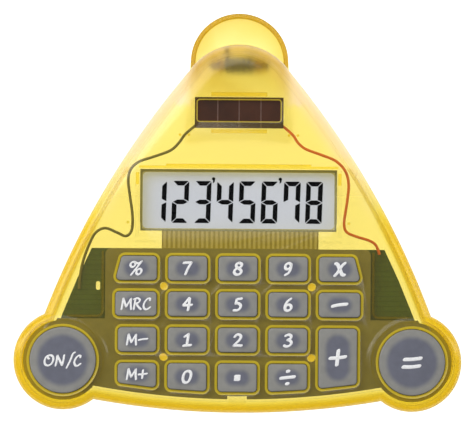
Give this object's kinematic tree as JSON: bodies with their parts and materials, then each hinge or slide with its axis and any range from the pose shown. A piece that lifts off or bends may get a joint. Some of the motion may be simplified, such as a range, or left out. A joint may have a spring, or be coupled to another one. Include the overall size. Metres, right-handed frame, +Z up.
{
  "type": "calculator",
  "caption": "Triangular pocket calculator in clear yellow plastic, with rubber keys, two large round corner keys, a liquid crystal display, a solar cell and a sprung paper clip on the back.",
  "frame": {"origin": "centre of the footprint, on the table that the calculator lies on", "axes": "+X to the right of the keypad, +Y towards the clip end, +Z up out of the table; the face slopes up 5 degrees towards +Y"},
  "size_m": [0.1152, 0.1038, 0.0167],
  "materials": {
    "yellow_shell": "injection moulded clear polystyrene, tinted yellow, polished face",
    "grey_rubber": "moulded silicone rubber, slightly translucent, satin",
    "green_board": "glass-epoxy laminate with green solder mask",
    "black_epoxy": "poured black epoxy",
    "sleeve_plastic": "shrunk sleeve over a metal can",
    "display_glass": "float glass with a matt polarising film",
    "display_foil": "matt reflector foil",
    "connector_film": "polyester film with printed carbon tracks",
    "solar_glass": "amorphous silicon on glass",
    "black_sleeve": "extruded PVC wire sleeve",
    "red_sleeve": "extruded PVC wire sleeve",
    "spring_steel": "drawn spring wire"
  },
  "bodies": {
    "case": {"front_shell": "yellow_shell", "rear_shell": "yellow_shell", "keypad_mat": "grey_rubber", "circuit_board": "green_board", "chip_cap": "black_epoxy", "reservoir_capacitor": "sleeve_plastic", "lcd_front_glass": "display_glass", "lcd_back_glass": "display_glass", "lcd_reflector": "display_foil", "heat_seal_connector": "connector_film", "solar_cell": "solar_glass", "black_wire": "black_sleeve", "red_wire": "red_sleeve", "clip_pin": "spring_steel", "clip_spring": "spring_steel"},
    "key_percent": {"key_percent": "grey_rubber"},
    "key_memory_recall": {"key_memory_recall": "grey_rubber"},
    "key_memory_minus": {"key_memory_minus": "grey_rubber"},
    "key_multiply": {"key_multiply": "grey_rubber"},
    "key_minus": {"key_minus": "grey_rubber"},
    "key_plus": {"key_plus": "grey_rubber"},
    "key_7": {"key_7": "grey_rubber"},
    "key_8": {"key_8": "grey_rubber"},
    "key_9": {"key_9": "grey_rubber"},
    "key_4": {"key_4": "grey_rubber"},
    "key_5": {"key_5": "grey_rubber"},
    "key_6": {"key_6": "grey_rubber"},
    "key_1": {"key_1": "grey_rubber"},
    "key_2": {"key_2": "grey_rubber"},
    "key_3": {"key_3": "grey_rubber"},
    "key_memory_plus": {"key_memory_plus": "grey_rubber"},
    "key_0": {"key_0": "grey_rubber"},
    "key_point": {"key_point": "grey_rubber"},
    "key_divide": {"key_divide": "grey_rubber"},
    "key_on_clear": {"key_on_clear": "grey_rubber"},
    "key_equals": {"key_equals": "grey_rubber"},
    "clip": {"clip_lever": "yellow_shell"}
  },
  "joints": [
    {"name": "press_percent", "type": "slide", "parent": "case", "child": "key_percent", "axis": [0, -0.0872, 0.9962], "range_m": [-0.001, 0], "stiffness_N_per_m": 500},
    {"name": "press_memory_recall", "type": "slide", "parent": "case", "child": "key_memory_recall", "axis": [0, -0.0872, 0.9962], "range_m": [-0.001, 0], "stiffness_N_per_m": 500},
    {"name": "press_memory_minus", "type": "slide", "parent": "case", "child": "key_memory_minus", "axis": [0, -0.0872, 0.9962], "range_m": [-0.001, 0], "stiffness_N_per_m": 500},
    {"name": "press_multiply", "type": "slide", "parent": "case", "child": "key_multiply", "axis": [0, -0.0872, 0.9962], "range_m": [-0.001, 0], "stiffness_N_per_m": 500},
    {"name": "press_minus", "type": "slide", "parent": "case", "child": "key_minus", "axis": [0, -0.0872, 0.9962], "range_m": [-0.001, 0], "stiffness_N_per_m": 500},
    {"name": "press_plus", "type": "slide", "parent": "case", "child": "key_plus", "axis": [0, -0.0872, 0.9962], "range_m": [-0.001, 0], "stiffness_N_per_m": 500},
    {"name": "press_7", "type": "slide", "parent": "case", "child": "key_7", "axis": [0, -0.0872, 0.9962], "range_m": [-0.001, 0], "stiffness_N_per_m": 500},
    {"name": "press_8", "type": "slide", "parent": "case", "child": "key_8", "axis": [0, -0.0872, 0.9962], "range_m": [-0.001, 0], "stiffness_N_per_m": 500},
    {"name": "press_9", "type": "slide", "parent": "case", "child": "key_9", "axis": [0, -0.0872, 0.9962], "range_m": [-0.001, 0], "stiffness_N_per_m": 500},
    {"name": "press_4", "type": "slide", "parent": "case", "child": "key_4", "axis": [0, -0.0872, 0.9962], "range_m": [-0.001, 0], "stiffness_N_per_m": 500},
    {"name": "press_5", "type": "slide", "parent": "case", "child": "key_5", "axis": [0, -0.0872, 0.9962], "range_m": [-0.001, 0], "stiffness_N_per_m": 500},
    {"name": "press_6", "type": "slide", "parent": "case", "child": "key_6", "axis": [0, -0.0872, 0.9962], "range_m": [-0.001, 0], "stiffness_N_per_m": 500},
    {"name": "press_1", "type": "slide", "parent": "case", "child": "key_1", "axis": [0, -0.0872, 0.9962], "range_m": [-0.001, 0], "stiffness_N_per_m": 500},
    {"name": "press_2", "type": "slide", "parent": "case", "child": "key_2", "axis": [0, -0.0872, 0.9962], "range_m": [-0.001, 0], "stiffness_N_per_m": 500},
    {"name": "press_3", "type": "slide", "parent": "case", "child": "key_3", "axis": [0, -0.0872, 0.9962], "range_m": [-0.001, 0], "stiffness_N_per_m": 500},
    {"name": "press_memory_plus", "type": "slide", "parent": "case", "child": "key_memory_plus", "axis": [0, -0.0872, 0.9962], "range_m": [-0.001, 0], "stiffness_N_per_m": 500},
    {"name": "press_0", "type": "slide", "parent": "case", "child": "key_0", "axis": [0, -0.0872, 0.9962], "range_m": [-0.001, 0], "stiffness_N_per_m": 500},
    {"name": "press_point", "type": "slide", "parent": "case", "child": "key_point", "axis": [0, -0.0872, 0.9962], "range_m": [-0.001, 0], "stiffness_N_per_m": 500},
    {"name": "press_divide", "type": "slide", "parent": "case", "child": "key_divide", "axis": [0, -0.0872, 0.9962], "range_m": [-0.001, 0], "stiffness_N_per_m": 500},
    {"name": "press_on_clear", "type": "slide", "parent": "case", "child": "key_on_clear", "axis": [0, -0.0872, 0.9962], "range_m": [-0.001, 0], "stiffness_N_per_m": 500},
    {"name": "press_equals", "type": "slide", "parent": "case", "child": "key_equals", "axis": [0, -0.0872, 0.9962], "range_m": [-0.001, 0], "stiffness_N_per_m": 500},
    {"name": "clip_hinge", "type": "hinge", "parent": "case", "child": "clip", "pos_m": [0, 0.03815, 0.00505], "axis": [1, 0, 0], "range_deg": [0, 25], "stiffness_Nm_per_rad": 0.06, "springref_deg": -28.65, "deforming": ["clip_spring"]}
  ]
}
